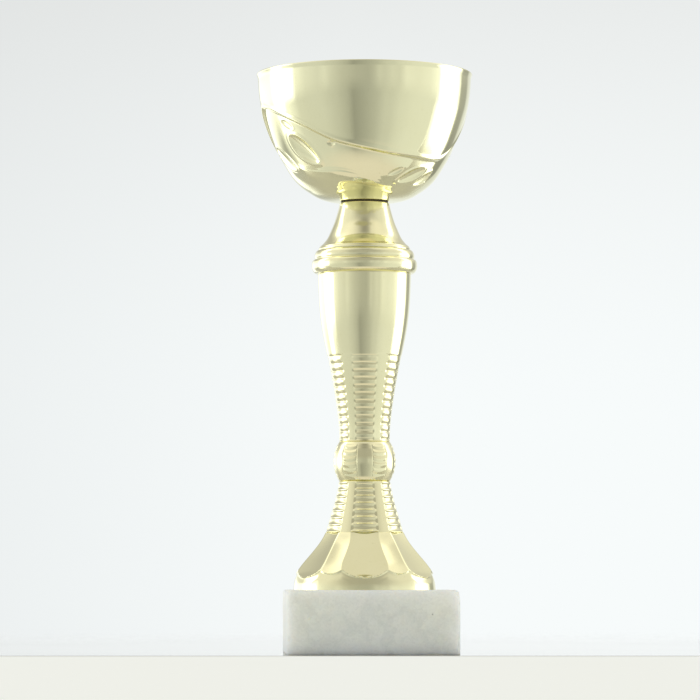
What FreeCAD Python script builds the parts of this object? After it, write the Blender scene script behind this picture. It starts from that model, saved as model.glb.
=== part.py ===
import FreeCAD, Part
import math
import os
import Sketcher

# Cup trophy: a stack of plated mouldings and a spun bowl, clamped to a square marble block by one M6 rod.
# Frame: millimetres, +Z up, origin where the stem axis meets the marble block's underside, front face towards -Y.

doc = FreeCAD.newDocument("cup_trophy")
sheet = doc.addObject("Spreadsheet::Sheet", "dims")
values = {}


def cell(alias, value):
    """One driving dimension: a plain number in column B with an alias."""
    row = len(values) + 1
    values[alias] = float(value)
    sheet.set("A%d" % row, "'" + alias.replace("_", " "))
    sheet.set("B%d" % row, repr(round(float(value), 4)))
    sheet.setAlias("B%d" % row, alias)


# ---------------------------------------------------------------- driving dimensions
for alias, value in (
    # marble block
    ("marble_side", 80.0),
    ("marble_off_axis", 2.4),
    ("marble_height", 30.0),
    ("marble_corner", 2.5),
    ("marble_top_round", 1.2),
    ("marble_bottom_break", 0.8),
    ("marble_bore", 8.0),
    ("marble_recess", 22.0),
    ("marble_recess_depth", 13.0),
    # M6 clamping hardware
    ("rod_diameter", 6.0),
    ("rod_bottom", 3.4),
    ("rod_top", 223.6),
    ("rod_chamfer", 0.8),
    ("nut_flats", 10.0),
    ("nut_height", 5.0),
    ("nut_corner_cut", 0.45),
    ("washer_thickness", 1.6),
    ("washer_bore", 6.4),
    ("base_washer_diameter", 18.0),
    ("bowl_washer_diameter", 12.0),
    # joint planes of the stack, heights above the table
    ("foot_seat", 30.0),
    ("knob_seat", 81.4),
    ("column_seat", 99.7),
    ("collar_seat", 179.6),
    ("neck_seat", 190.6),
    ("gasket_seat", 213.2),
    ("bowl_seat", 213.9),
    ("rod_hole", 3.3),
    # foot petals
    ("petal_count", 6),
    ("petal_half_angle", 21.5),
    # knob windows
    ("window_count", 6),
    ("knob_rib_angle", 34.0),
    ("knob_groove_depth", 0.4),
    ("knob_groove_width", 0.9),
    ("knob_groove_pitch", 3.0),
    # gasket and bowl
    ("gasket_radius", 11.2),
    ("bowl_sheet", 0.8),
):
    cell(alias, value)


def bound(alias):
    return "dims." + alias


def lerp_table(table, z):
    for (za, ra), (zb, rb) in zip(table, table[1:]):
        if z <= zb:
            return ra + (rb - ra) * (z - za) / (zb - za)
    return table[-1][1]


def table_profile(prefix, points):
    """Store a closed profile in the sheet. Each point: radius, height above the table, and the
    sagitta of the edge that leaves it (0 is a straight edge, plus bulges away from the material)."""
    for i, (r, z, s) in enumerate(points, 1):
        cell("%s_r%02d" % (prefix, i), r)
        cell("%s_z%02d" % (prefix, i), z)
        if s:
            cell("%s_s%02d" % (prefix, i), s)
    return prefix, points


# -- foot: rim band, petal flare, eight narrow ridges with hollow bands between, top disc with a centring spigot; hollow underneath
foot_pitch = 3.3
foot_first = 57.3
foot_crest = [(57.0, 18.5), (61.3, 17.2), (69.2, 14.85), (77.1, 12.9), (81.4, 12.2)]
foot = [
    (31.4, 30.0, 0),
    (33.6, 30.0, 0),
    (33.3, 34.0, 0.12),
    (32.0, 39.2, 0.6),
    (26.4, 45.6, -0.35),
    (20.6, 53.0, -0.2),
    (18.6, 56.4, 0),
]
for k in range(8):
    z = foot_first + k * foot_pitch
    foot.append((lerp_table(foot_crest, z), z, -0.5 if k < 7 else 0))
foot += [
    (11.9, 81.4, 0),
    (8.8, 81.4, 0),
    (8.8, 83.7, 0),
    (3.3, 83.7, 0),
    (3.3, 78.9, 0),
    (9.6, 78.9, 0),
    (12.4, 68.0, 0),
    (15.4, 57.5, 0),
    (17.2, 52.5, 0),
    (22.6, 45.2, 0),
    (27.6, 39.4, 0),
    (31.2, 33.2, 0),
]
table_profile("foot", foot)

# outline of the petal facets: distance of the facet from the axis at each height
ridge = [(34.4, 36.2), (37.0, 34.0), (39.5, 32.2), (42.0, 30.0), (45.6, 26.4), (49.6, 23.05), (53.0, 20.6), (56.4, 18.6)]
main_cos = math.cos(math.radians(19.8))
side_cos = math.cos(math.radians(10.2))
for name, factor in (("petal", main_cos), ("leaf", side_cos)):
    for i, (z, r) in enumerate(ridge, 1):
        cell("%s_z%02d" % (name, i), z)
        cell("%s_d%02d" % (name, i), r * factor)

# -- knob: ball band, bored from below, spigot on top
table_profile(
    "knob",
    [
        (9.0, 81.4, 0),
        (12.2, 81.4, 2.75),
        (12.0, 99.7, 0),
        (9.6, 99.7, 0),
        (9.6, 102.2, 0),
        (3.3, 102.2, 0),
        (3.3, 97.3, 0),
        (9.0, 97.3, 0),
    ],
)

# -- upper column: eleven beads, then a smooth flared cone; hollow, closed at the top
column_pitch = 3.55
column_first = 101.0
column_crest = [(99.7, 12.0), (105.5, 12.15), (115.0, 13.1), (124.4, 14.5), (130.7, 15.7), (140.6, 17.5)]
column = [(10.0, 99.7, 0), (11.6, 99.7, 0)]
for k in range(12):
    z = column_first + k * column_pitch
    column.append((lerp_table(column_crest, z) - 0.55, z, 0.5 if k < 11 else 0))
column += [
    (17.45, 141.0, 0.08),
    (20.1, 152.9, 0.12),
    (21.5, 164.8, 0.03),
    (22.1, 179.6, 0),
    (17.8, 179.6, 0),
    (17.8, 181.8, 0),
    (3.3, 181.8, 0),
    (3.3, 177.2, 0),
    (19.6, 177.2, 0),
    (19.2, 165.0, 0),
    (17.8, 153.0, 0),
    (14.9, 141.0, 0),
    (11.9, 124.0, 0),
    (10.0, 108.0, 0),
]
table_profile("column", column)

# -- collar ring: wide lower band, groove, narrower upper band
table_profile(
    "collar",
    [
        (18.0, 179.6, 0),
        (23.2, 179.6, 0),
        (24.2, 180.4, 0.25),
        (25.0, 183.2, 0.35),
        (24.2, 186.0, 0),
        (23.5, 186.4, 0),
        (23.5, 186.9, 0),
        (23.5, 187.1, 0.4),
        (22.4, 190.6, 0),
        (18.0, 190.6, 0),
    ],
)

# -- bowl neck: shoulder and concave neck, hollow, closed at the top, spigot below
table_profile(
    "neck",
    [
        (17.8, 190.6, 0),
        (21.9, 190.6, 0),
        (21.8, 191.6, 0.25),
        (20.1, 193.5, 0),
        (18.1, 195.8, -0.12),
        (15.7, 200.6, -0.15),
        (13.5, 206.5, -0.1),
        (11.8, 213.2, 0),
        (3.3, 213.2, 0),
        (3.3, 210.8, 0),
        (9.6, 210.8, 0),
        (11.4, 206.0, 0),
        (13.6, 200.0, 0),
        (15.8, 195.5, 0),
        (15.8, 188.4, 0),
        (17.8, 188.4, 0),
    ],
)

# -- bowl: one spun sheet; outer face, then the same face one sheet thickness inside
bowl_out = [
    (3.3, 213.9),
    (14.0, 213.9),
    (17.0, 214.3),
    (20.0, 215.05),
    (25.4, 217.2),
    (30.1, 220.2),
    (34.0, 224.0),
    (37.3, 229.0),
    (41.2, 235.7),
    (44.5, 243.5),
    (47.2, 251.3),
    (48.9, 256.6),
    (49.9, 261.2),
    (50.4, 266.5),
    (50.7, 272.6),
]
sheet_t = 0.8
inner = []
for i, (r, z) in enumerate(bowl_out):
    a = bowl_out[max(i - 1, 0)]
    b = bowl_out[min(i + 1, len(bowl_out) - 1)]
    if i == 1:
        a = (13.0, 213.9)
    dr, dz = b[0] - a[0], b[1] - a[1]
    length = math.hypot(dr, dz)
    inner.append((r - dz / length * sheet_t, z + dr / length * sheet_t))
inner[0] = (3.3, 213.9 + sheet_t)
bowl = []
for i, (r, z) in enumerate(bowl_out):
    bowl.append((r, z, 0.05 if 1 < i < len(bowl_out) - 1 else 0))
# rolled lip
bowl[-1] = (50.7, 272.6, 0)
bowl += [(51.35, 273.6, 0.2), (51.35, 274.8, 0), (50.5, 274.8, 0.0), (50.1, 273.8, 0)]
for i, (r, z) in enumerate(reversed(inner)):
    bowl.append((r, z, 0))
table_profile("bowl", bowl)

doc.recompute()


# ---------------------------------------------------------------- helpers
def origin_feature(body, role):
    for feature in body.Origin.OriginFeatures:
        if feature.Role == role:
            return feature
    raise RuntimeError("no origin feature " + role)


def new_body(label, seat=None):
    body = doc.addObject("PartDesign::Body", label)
    body.Label = label
    if seat:
        body.Placement = FreeCAD.Placement(FreeCAD.Vector(0, 0, values[seat]), FreeCAD.Rotation())
        body.setExpression("Placement.Base.z", bound(seat))
    return body


def new_sketch(body, name, role="XZ_Plane", offset=None):
    sketch = body.newObject("Sketcher::SketchObject", name)
    sketch.AttachmentSupport = [(origin_feature(body, role), "")]
    sketch.MapMode = "FlatFace"
    if offset is not None:
        sketch.AttachmentOffset = FreeCAD.Placement(FreeCAD.Vector(0, 0, offset), FreeCAD.Rotation())
    return sketch


def constrain(sketch, name, expression, *arguments):
    index = sketch.addConstraint(Sketcher.Constraint(*arguments))
    sketch.renameConstraint(index, name)
    if expression:
        sketch.setExpression("Constraints." + name, expression)
    return index


def closed_loop(sketch, vertices, tag=""):
    """vertices: (x, y, sagitta, x expression, y expression, sagitta expression or None)"""
    count = len(vertices)
    ends = []
    for i, vertex in enumerate(vertices):
        follow = vertices[(i + 1) % count]
        p = FreeCAD.Vector(vertex[0], vertex[1], 0)
        q = FreeCAD.Vector(follow[0], follow[1], 0)
        if vertex[2]:
            span = q - p
            normal = FreeCAD.Vector(span.y, -span.x, 0)
            normal.normalize()
            middle = (p + q) * 0.5 + normal * vertex[2]
            # sketch arcs run anticlockwise, so a hollow edge is drawn from its far end
            if vertex[2] > 0:
                ends.append((sketch.addGeometry(Part.Arc(p, middle, q), False), 1, 2))
            else:
                ends.append((sketch.addGeometry(Part.Arc(q, middle, p), False), 2, 1))
        else:
            geo = sketch.addGeometry(Part.LineSegment(p, q), False)
            ends.append((geo, 1, 2))
    for i in range(count):
        this, follow = ends[i], ends[(i + 1) % count]
        sketch.addConstraint(Sketcher.Constraint("Coincident", this[0], this[2], follow[0], follow[1]))
    for i, vertex in enumerate(vertices, 1):
        geo, start, _ = ends[i - 1]
        constrain(sketch, "%sx%02d" % (tag, i), vertex[3], "DistanceX", -1, 1, geo, start, vertex[0])
        constrain(sketch, "%sy%02d" % (tag, i), vertex[4], "DistanceY", -1, 1, geo, start, vertex[1])
        if vertex[2]:
            # the arc passes through a point that stands off the middle of its chord by the sagitta
            follow = vertices[i % count]
            dx, dy = follow[0] - vertex[0], follow[1] - vertex[1]
            length = math.hypot(dx, dy)
            mx = (vertex[0] + follow[0]) / 2 + vertex[2] * dy / length
            my = (vertex[1] + follow[1]) / 2 - vertex[2] * dx / length
            across = "(%s - (%s))" % (follow[3], vertex[3])
            along = "(%s - (%s))" % (follow[4], vertex[4])
            chord = "sqrt(%s^2 + %s^2)" % (across, along)
            point = sketch.addGeometry(Part.Point(FreeCAD.Vector(mx, my, 0)), True)
            constrain(sketch, "%smx%02d" % (tag, i), "(%s + %s) / 2 + %s * %s / %s" % (follow[3], vertex[3], vertex[5], along, chord), "DistanceX", -1, 1, point, 1, mx)
            constrain(sketch, "%smy%02d" % (tag, i), "(%s + %s) / 2 - %s * %s / %s" % (follow[4], vertex[4], vertex[5], across, chord), "DistanceY", -1, 1, point, 1, my)
            sketch.addConstraint(Sketcher.Constraint("PointOnObject", point, 1, geo))


def turned_body(label, prefix, points, seat):
    """A turned piece: its closed profile from the sheet, revolved about the trophy's axis."""
    body = new_body(label, seat)
    sketch = new_sketch(body, prefix + "_profile")
    loop = []
    for i, (r, z, s) in enumerate(points, 1):
        loop.append(
            (
                r,
                z - values[seat],
                s,
                bound("%s_r%02d" % (prefix, i)),
                "%s - %s" % (bound("%s_z%02d" % (prefix, i)), bound(seat)),
                bound("%s_s%02d" % (prefix, i)) if s else None,
            )
        )
    closed_loop(sketch, loop)
    turn = body.newObject("PartDesign::Revolution", prefix + "_turned")
    turn.Profile = sketch
    turn.ReferenceAxis = (sketch, ["V_Axis"])
    turn.Angle = 360
    body.Tip = turn
    return body, turn


def circle(sketch, name, radius, expression, centre=(0, 0)):
    geo = sketch.addGeometry(Part.Circle(FreeCAD.Vector(centre[0], centre[1], 0), FreeCAD.Vector(0, 0, 1), radius), False)
    sketch.addConstraint(Sketcher.Constraint("Coincident", geo, 3, -1, 1))
    constrain(sketch, name, expression, "Diameter", geo, 2 * radius)
    return geo


def pad(body, sketch, name, length, expression):
    feature = body.newObject("PartDesign::Pad", name)
    feature.Profile = sketch
    feature.Length = length
    feature.setExpression("Length", expression)
    body.Tip = feature
    return feature


def pocket_up(body, sketch, name, length, expression):
    """Cut from the sketch plane towards +Z."""
    feature = body.newObject("PartDesign::Pocket", name)
    feature.Profile = sketch
    feature.Length = length
    feature.setExpression("Length", expression)
    feature.Reversed = True
    body.Tip = feature
    return feature


def must_shrink(before, feature, what):
    after = feature.Shape.Volume
    if not after < before - 1e-3:
        raise RuntimeError("%s removed nothing (%.3f -> %.3f)" % (what, before, after))
    return after


def set_symmetric(feature):
    if hasattr(feature, "SideType"):
        feature.SideType = "Symmetric"
    else:
        feature.Midplane = True


# ---------------------------------------------------------------- marble block
marble = new_body("marble_base")
sk = new_sketch(marble, "marble_outline", "XY_Plane")
half = values["marble_side"] / 2
corners = [(-half, -half), (half, -half), (half, half), (-half, half)]
side = bound("marble_side") + " / 2"
loop = []
for x, y in corners:
    # the block is drilled a little off centre, so its outline is moved along +X from the stem axis
    across = ("-" if x < 0 else "") + side + " + " + bound("marble_off_axis")
    loop.append((x + values["marble_off_axis"], y, 0, across, ("-" if y < 0 else "") + side, None))
closed_loop(sk, loop)
block = pad(marble, sk, "marble_block", values["marble_height"], bound("marble_height"))
doc.recompute()


def edges_where(shape, test):
    return ["Edge%d" % (i + 1) for i, edge in enumerate(shape.Edges) if test(edge)]


def is_vertical(edge):
    a, b = edge.Vertexes[0].Point, edge.Vertexes[-1].Point
    return abs(a.x - b.x) < 1e-6 and abs(a.y - b.y) < 1e-6 and abs(a.z - b.z) > 1


corner_round = marble.newObject("PartDesign::Fillet", "marble_corner_round")
corner_round.Base = (block, edges_where(block.Shape, is_vertical))
corner_round.Radius = values["marble_corner"]
corner_round.setExpression("Radius", bound("marble_corner"))
marble.Tip = corner_round
doc.recompute()
top_round = marble.newObject("PartDesign::Fillet", "marble_top_round")
top_round.Base = (
    corner_round,
    edges_where(corner_round.Shape, lambda e: all(abs(v.Point.z - values["marble_height"]) < 1e-6 for v in e.Vertexes)),
)
top_round.Radius = values["marble_top_round"]
top_round.setExpression("Radius", bound("marble_top_round"))
marble.Tip = top_round
doc.recompute()
bottom_break = marble.newObject("PartDesign::Chamfer", "marble_bottom_break")
bottom_break.Base = (
    top_round,
    edges_where(top_round.Shape, lambda e: all(abs(v.Point.z) < 1e-6 for v in e.Vertexes)),
)
bottom_break.Size = values["marble_bottom_break"]
bottom_break.setExpression("Size", bound("marble_bottom_break"))
marble.Tip = bottom_break
doc.recompute()
volume = bottom_break.Shape.Volume
sk = new_sketch(marble, "marble_bore_circle", "XY_Plane")
circle(sk, "bore", values["marble_bore"] / 2, bound("marble_bore"))
bore = pocket_up(marble, sk, "marble_bore", values["marble_height"], bound("marble_height"))
doc.recompute()
volume = must_shrink(volume, bore, "marble bore")
sk = new_sketch(marble, "marble_recess_circle", "XY_Plane")
circle(sk, "recess", values["marble_recess"] / 2, bound("marble_recess"))
recess = pocket_up(marble, sk, "marble_recess", values["marble_recess_depth"], bound("marble_recess_depth"))
doc.recompute()
volume = must_shrink(volume, recess, "marble recess")

# ---------------------------------------------------------------- stacked stem and bowl
foot_body, foot_turned = turned_body("foot", "foot", foot, "foot_seat")
knob_body, knob_turned = turned_body(
    "knob", "knob", [(9.0, 81.4, 0), (12.2, 81.4, 2.75), (12.0, 99.7, 0), (9.6, 99.7, 0), (9.6, 102.2, 0), (3.3, 102.2, 0), (3.3, 97.3, 0), (9.0, 97.3, 0)], "knob_seat"
)
column_body, column_turned = turned_body("column", "column", column, "column_seat")
collar_points = [(values["collar_r%02d" % i], values["collar_z%02d" % i], values.get("collar_s%02d" % i, 0)) for i in range(1, 11)]
collar_body, collar_turned = turned_body("collar_ring", "collar", collar_points, "collar_seat")
neck_points = [(values["neck_r%02d" % i], values["neck_z%02d" % i], values.get("neck_s%02d" % i, 0)) for i in range(1, 17)]
neck_body, neck_turned = turned_body("bowl_neck", "neck", neck_points, "neck_seat")
bowl_body, bowl_turned = turned_body("bowl", "bowl", bowl, "bowl_seat")
doc.recompute()

# ---------------------------------------------------------------- petals of the foot
# Flat-bottomed facets round the flare: six wide petals, one facing -Y, and six narrower leaves between them.
for prefix, sign, plane in (("petal", -1, "YZ_Plane"), ("leaf", 1, "XZ_Plane")):
    sk = new_sketch(foot_body, prefix + "_outline", plane)
    loop = []
    far = 45.0
    for i, (z, r) in enumerate(ridge, 1):
        d = values["%s_d%02d" % (prefix, i)]
        loop.append(
            (
                sign * d,
                z - values["foot_seat"],
                0,
                "%s%s" % ("-" if sign < 0 else "", bound("%s_d%02d" % (prefix, i))),
                "%s - %s" % (bound("%s_z%02d" % (prefix, i)), bound("foot_seat")),
                None,
            )
        )
    top = values["%s_z%02d" % (prefix, len(ridge))] - values["foot_seat"]
    low = values["%s_z01" % prefix] - values["foot_seat"]
    loop.append((sign * far, top, 0, "%d" % (sign * far), "%s - %s" % (bound("%s_z%02d" % (prefix, len(ridge))), bound("foot_seat")), None))
    loop.append((sign * far, low, 0, "%d" % (sign * far), "%s - %s" % (bound("%s_z01" % prefix), bound("foot_seat")), None))
    closed_loop(sk, loop)
    cut = foot_body.newObject("PartDesign::Pocket", prefix + "_cut")
    cut.Profile = sk
    set_symmetric(cut)
    cut.Length = 80
    foot_body.Tip = cut
    doc.recompute()
    ring = foot_body.newObject("PartDesign::PolarPattern", prefix + "_ring")
    ring.Originals = [cut]
    ring.Axis = (origin_feature(foot_body, "Z_Axis"), [""])
    ring.Angle = 360
    ring.Occurrences = 6
    ring.setExpression("Occurrences", bound("petal_count"))
    foot_body.Tip = ring
    doc.recompute()
    print(prefix, "foot volume", foot_turned.Shape.Volume, cut.Shape.Volume, ring.Shape.Volume)

# ---------------------------------------------------------------- ribbed panels of the knob
# Horizontal grooves in six panels; the windows between them, one of which faces -Y, stay smooth.
sk = new_sketch(knob_body, "knob_grooves", "XZ_Plane")
chord_r = 12.1
mid_z = (99.7 - 81.4) / 2
c2 = (99.7 - 81.4) ** 2 / 4
ball_r = (c2 + 2.75**2) / (2 * 2.75)
ball_x = chord_r + 2.75 - ball_r
for n, k in enumerate((-2, -1, 0, 1, 2), 1):
    zc = mid_z + k * values["knob_groove_pitch"]
    surface = ball_x + math.sqrt(ball_r**2 - (zc - mid_z) ** 2)
    w = values["knob_groove_width"] / 2
    cell("groove_r%02d" % n, surface)
    cell("groove_z%02d" % n, zc)
    gz = bound("groove_z%02d" % n)
    gr = bound("groove_r%02d" % n)
    hw = bound("knob_groove_width") + " / 2"
    loop = [
        (surface - values["knob_groove_depth"], zc, 0, "%s - %s" % (gr, bound("knob_groove_depth")), gz, None),
        (surface + 0.6, zc - w * 2, 0, gr + " + 0.6", "%s - %s" % (gz, bound("knob_groove_width")), None),
        (surface + 0.6, zc + w * 2, 0, gr + " + 0.6", "%s + %s" % (gz, bound("knob_groove_width")), None),
    ]
    doc.recompute()
    closed_loop(sk, loop, "g%d_" % n)
groove = knob_body.newObject("PartDesign::Groove", "knob_panel")
groove.Profile = sk
groove.ReferenceAxis = (sk, ["V_Axis"])
groove.Angle = values["knob_rib_angle"]
groove.setExpression("Angle", bound("knob_rib_angle"))
groove.Midplane = True
knob_body.Tip = groove
doc.recompute()
panels = knob_body.newObject("PartDesign::PolarPattern", "knob_panels")
panels.Originals = [groove]
panels.Axis = (origin_feature(knob_body, "Z_Axis"), [""])
panels.Angle = 360
panels.Occurrences = 6
panels.setExpression("Occurrences", bound("window_count"))
knob_body.Tip = panels
doc.recompute()
print("knob volume", knob_turned.Shape.Volume, groove.Shape.Volume, panels.Shape.Volume)

# ---------------------------------------------------------------- gasket under the bowl
gasket = new_body("bowl_gasket", "gasket_seat")
sk = new_sketch(gasket, "gasket_ring", "XY_Plane")
circle(sk, "outer", values["gasket_radius"], "2 * " + bound("gasket_radius"))
circle(sk, "inner", values["rod_hole"], "2 * " + bound("rod_hole"))
pad(gasket, sk, "gasket_pad", values["bowl_seat"] - values["gasket_seat"], "%s - %s" % (bound("bowl_seat"), bound("gasket_seat")))


# ---------------------------------------------------------------- rod, nuts and washers
def washer(label, seat, diameter):
    body = new_body(label, seat)
    sketch = new_sketch(body, label + "_ring", "XY_Plane")
    circle(sketch, "outer", values[diameter] / 2, bound(diameter))
    circle(sketch, "inner", values["washer_bore"] / 2, bound("washer_bore"))
    pad(body, sketch, label + "_pad", values["washer_thickness"], bound("washer_thickness"))
    return body


def hex_nut(label, seat):
    body = new_body(label, seat)
    sketch = new_sketch(body, label + "_hexagon", "XY_Plane")
    corner = values["nut_flats"] / math.sqrt(3)
    loop = []
    for k in range(6):
        angle = math.radians(60 * k)
        cx, cy = math.cos(angle), math.sin(angle)
        loop.append(
            (
                corner * cx,
                corner * cy,
                0,
                "%s / sqrt(3) * %.10f" % (bound("nut_flats"), cx),
                "%s / sqrt(3) * %.10f" % (bound("nut_flats"), cy),
                None,
            )
        )
    closed_loop(sketch, loop)
    circle(sketch, "thread", values["rod_diameter"] / 2, bound("rod_diameter"))
    pad(body, sketch, label + "_pad", values["nut_height"], bound("nut_height"))
    doc.recompute()
    before = body.Tip.Shape.Volume
    # corners eased by a cone at both ends
    sketch = new_sketch(body, label + "_easing", "XZ_Plane")
    inner, outer = values["nut_flats"] / 2 - 0.1, corner + 0.4
    height, cut = values["nut_height"], values["nut_corner_cut"]
    ni = bound("nut_flats") + " / 2 - 0.1"
    no = bound("nut_flats") + " / sqrt(3) + 0.4"
    nh, nc = bound("nut_height"), bound("nut_corner_cut")
    closed_loop(
        sketch,
        [
            (inner, -0.2, 0, ni, "-0.2", None),
            (outer, -0.2, 0, no, "-0.2", None),
            (outer, cut * 1.6, 0, no, nc + " * 1.6", None),
        ],
        "lower_",
    )
    closed_loop(
        sketch,
        [
            (inner, height + 0.2, 0, ni, nh + " + 0.2", None),
            (outer, height + 0.2, 0, no, nh + " + 0.2", None),
            (outer, height - cut * 1.6, 0, no, "%s - %s * 1.6" % (nh, nc), None),
        ],
        "upper_",
    )
    easing = body.newObject("PartDesign::Groove", label + "_eased")
    easing.Profile = sketch
    easing.ReferenceAxis = (sketch, ["V_Axis"])
    easing.Angle = 360
    body.Tip = easing
    doc.recompute()
    must_shrink(before, easing, label)
    return body


cell("base_washer_seat", 13.0 - 1.6)
cell("base_nut_seat", 13.0 - 1.6 - 5.0)
cell("bowl_washer_seat", 213.9 + 0.8)
cell("bowl_nut_seat", 213.9 + 0.8 + 1.6)
doc.recompute()
washer("base_washer", "base_washer_seat", "base_washer_diameter")
hex_nut("base_nut", "base_nut_seat")
washer("bowl_washer", "bowl_washer_seat", "bowl_washer_diameter")
hex_nut("bowl_nut", "bowl_nut_seat")

rod = new_body("tie_rod", "rod_bottom")
sk = new_sketch(rod, "rod_circle", "XY_Plane")
circle(sk, "rod", values["rod_diameter"] / 2, bound("rod_diameter"))
shank = pad(rod, sk, "rod_shank", values["rod_top"] - values["rod_bottom"], "%s - %s" % (bound("rod_top"), bound("rod_bottom")))
doc.recompute()
ends = rod.newObject("PartDesign::Chamfer", "rod_ends")
ends.Base = (shank, edges_where(shank.Shape, lambda e: e.Closed))
ends.Size = values["rod_chamfer"]
ends.setExpression("Size", bound("rod_chamfer"))
rod.Tip = ends
doc.recompute()

# ---------------------------------------------------------------- checks and export
for item in doc.Objects:
    if "Invalid" in item.State or "Error" in item.State:
        raise RuntimeError("failed feature %s: %s" % (item.Name, item.State))

os.makedirs("parts", exist_ok=True)
bodies = [item for item in doc.Objects if item.TypeId == "PartDesign::Body"]
shapes = {}
for body in bodies:
    shape = body.Shape
    if shape.isNull() or not shape.isValid():
        raise RuntimeError("bad shape " + body.Label)
    if len(shape.Solids) != 1:
        raise RuntimeError("%s has %d solids" % (body.Label, len(shape.Solids)))
    shapes[body.Label] = shape
names = sorted(shapes)
for i, first in enumerate(names):
    for second in names[i + 1 :]:
        if shapes[first].BoundBox.intersect(shapes[second].BoundBox):
            common = shapes[first].common(shapes[second]).Volume
            if common > 0.01:
                print("OVERLAP", first, second, round(common, 3))
for old in os.listdir("parts"):
    if old.endswith(".step"):
        os.remove(os.path.join("parts", old))
for name in names:
    shapes[name].exportStep(os.path.join("parts", name + ".step"))
    box = shapes[name].BoundBox
    print("%-14s volume %10.1f  z %.2f..%.2f  r %.2f" % (name, shapes[name].Volume, box.ZMin, box.ZMax, box.XMax))
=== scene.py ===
import math

import bmesh
import bpy
import numpy as np
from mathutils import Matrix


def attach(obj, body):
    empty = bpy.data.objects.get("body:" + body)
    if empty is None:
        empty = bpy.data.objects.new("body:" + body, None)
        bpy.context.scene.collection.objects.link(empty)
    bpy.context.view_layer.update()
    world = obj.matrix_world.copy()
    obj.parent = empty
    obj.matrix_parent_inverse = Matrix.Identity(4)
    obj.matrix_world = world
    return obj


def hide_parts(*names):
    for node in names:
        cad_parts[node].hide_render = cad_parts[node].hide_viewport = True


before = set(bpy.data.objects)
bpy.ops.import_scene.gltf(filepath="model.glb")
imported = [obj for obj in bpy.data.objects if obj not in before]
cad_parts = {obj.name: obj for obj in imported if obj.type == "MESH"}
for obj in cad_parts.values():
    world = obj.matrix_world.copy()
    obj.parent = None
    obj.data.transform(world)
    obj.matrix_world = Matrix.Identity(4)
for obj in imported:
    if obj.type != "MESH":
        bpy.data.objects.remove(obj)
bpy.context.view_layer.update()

MM = 0.001
TURN = -2.6  # the picture is taken from this azimuth, in degrees from -Y towards +X; the worked patterns face it


# ------------------------------------------------------------------ curves and small maths
def spline(xs, ys, x):
    """Natural cubic spline through (xs, ys), evaluated at x."""
    xs, ys, x = np.asarray(xs, float), np.asarray(ys, float), np.asarray(x, float)
    n = len(xs)
    h = np.diff(xs)
    a = np.zeros((n, n))
    b = np.zeros(n)
    a[0, 0] = a[-1, -1] = 1
    for i in range(1, n - 1):
        a[i, i - 1], a[i, i], a[i, i + 1] = h[i - 1], 2 * (h[i - 1] + h[i]), h[i]
        b[i] = 6 * ((ys[i + 1] - ys[i]) / h[i] - (ys[i] - ys[i - 1]) / h[i - 1])
    m = np.linalg.solve(a, b)
    k = np.clip(np.searchsorted(xs, x) - 1, 0, n - 2)
    t0, t1, hk = x - xs[k], xs[k + 1] - x, h[k]
    return m[k] * t1**3 / (6 * hk) + m[k + 1] * t0**3 / (6 * hk) + (ys[k] / hk - m[k] * hk / 6) * t1 + (ys[k + 1] / hk - m[k + 1] * hk / 6) * t0


def smooth(e0, e1, x):
    t = np.clip((x - e0) / (e1 - e0), 0, 1)
    return t * t * (3 - 2 * t)


def smin(a, b, k):
    """Smooth minimum, k is the blend width."""
    d = np.clip(0.5 + 0.5 * (b - a) / k, 0, 1)
    return b * (1 - d) + a * d - k * d * (1 - d)


def wrap(angle):
    """Degrees into -180..180."""
    return (angle + 180) % 360 - 180


def hash_noise(i, j, k, seed):
    """Repeatable value noise lattice, 0..1, from integer arrays."""
    h = (i * 374761393 + j * 668265263 + k * 2147483647 + seed * 1274126177) & 0xFFFFFFFF
    h = ((h ^ (h >> 13)) * 1274126177) & 0xFFFFFFFF
    return ((h ^ (h >> 16)) & 0xFFFF) / 65535.0


def value_noise(p, scale, seed=1):
    """Smooth 3-D value noise at points p (n, 3), -1..1."""
    q = p / scale
    i = np.floor(q).astype(np.int64)
    f = q - i
    f = f * f * (3 - 2 * f)
    out = 0
    for dx in (0, 1):
        for dy in (0, 1):
            for dz in (0, 1):
                w = (f[:, 0] if dx else 1 - f[:, 0]) * (f[:, 1] if dy else 1 - f[:, 1]) * (f[:, 2] if dz else 1 - f[:, 2])
                out = out + w * hash_noise(i[:, 0] + dx, i[:, 1] + dy, i[:, 2] + dz, seed)
    return out * 2 - 1


# ------------------------------------------------------------------ meshes
def finish_mesh(name, verts, faces, body="root", sharp=40.0, material=None):
    mesh = bpy.data.meshes.new(name)
    mesh.from_pydata([], [], [])
    mesh.clear_geometry()
    verts = np.asarray(verts, np.float64)
    faces = np.asarray(faces, np.int64)
    mesh.vertices.add(len(verts))
    mesh.vertices.foreach_set("co", verts.ravel())
    n, k = faces.shape
    mesh.loops.add(n * k)
    mesh.loops.foreach_set("vertex_index", faces.ravel())
    mesh.polygons.add(n)
    mesh.polygons.foreach_set("loop_start", np.arange(0, n * k, k))
    mesh.polygons.foreach_set("loop_total", np.full(n, k))
    mesh.update(calc_edges=True)
    mesh.validate()
    bm = bmesh.new()
    bm.from_mesh(mesh)
    bmesh.ops.recalc_face_normals(bm, faces=bm.faces)
    bm.to_mesh(mesh)
    bm.free()
    mesh.polygons.foreach_set("use_smooth", np.ones(len(mesh.polygons), bool))
    mesh.set_sharp_from_angle(angle=math.radians(sharp))
    obj = bpy.data.objects.new(name, mesh)
    bpy.context.scene.collection.objects.link(obj)
    if material:
        mesh.materials.append(material)
    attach(obj, body)
    return obj


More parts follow.
